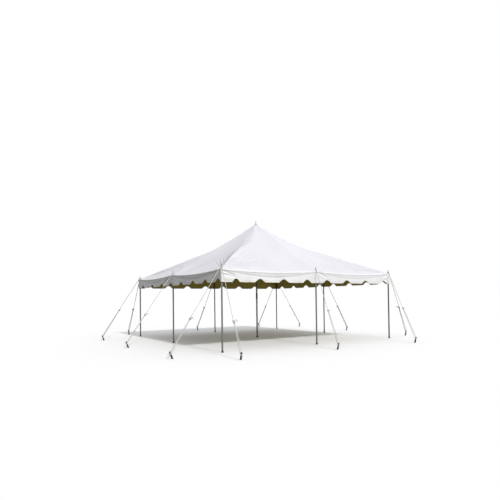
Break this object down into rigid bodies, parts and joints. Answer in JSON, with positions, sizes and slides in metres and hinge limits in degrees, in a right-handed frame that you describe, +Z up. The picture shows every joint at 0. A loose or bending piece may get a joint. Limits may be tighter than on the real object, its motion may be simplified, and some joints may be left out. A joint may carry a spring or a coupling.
{
  "type": "pole tent",
  "caption": "Square pole tent: one peaked white canopy with a scalloped valance, over a centre pole and side poles, held by guy ropes and stakes.",
  "frame": {"origin": "on the ground under the centre pole, at the middle of its foot", "axes": "+Z up, the front of the tent faces -Y, +X to the right"},
  "size_m": [9.2265, 9.0658, 3.91],
  "materials": {
    "canopy": "white coated vinyl cloth, satin outside, olive-brown in shade inside",
    "pole": "dull galvanised tube",
    "coupler": "black, satin",
    "rope": "white laid rope",
    "stake": "dark, weathered steel"
  },
  "bodies": {
    "root": {"front_roof": "canopy", "right_roof": "canopy", "back_roof": "canopy", "left_roof": "canopy", "roof_crown": "canopy", "front_valance": "canopy", "right_valance": "canopy", "back_valance": "canopy", "left_valance": "canopy", "front_left_pole": "pole", "front_right_pole": "pole", "back_right_pole": "pole", "back_left_pole": "pole", "front_middle_pole": "pole", "right_middle_pole": "pole", "back_middle_pole": "pole", "left_middle_pole": "pole", "centre_pole_lower": "pole", "centre_pole_upper": "pole", "centre_pole_coupler": "coupler", "rope_front_left_a": "rope", "rope_front_left_b": "rope", "rope_front_middle": "rope", "rope_front_right_a": "rope", "rope_front_right_b": "rope", "rope_right_middle": "rope", "rope_back_right_a": "rope", "rope_back_right_b": "rope", "rope_back_middle": "rope", "rope_back_left_a": "rope", "rope_back_left_b": "rope", "rope_left_middle": "rope", "stake_front_left_a": "stake", "stake_front_left_b": "stake", "stake_front_middle": "stake", "stake_front_right_a": "stake", "stake_front_right_b": "stake", "stake_right_middle": "stake", "stake_back_right_a": "stake", "stake_back_right_b": "stake", "stake_back_middle": "stake", "stake_back_left_a": "stake", "stake_back_left_b": "stake", "stake_left_middle": "stake"}
  },
  "joints": []
}
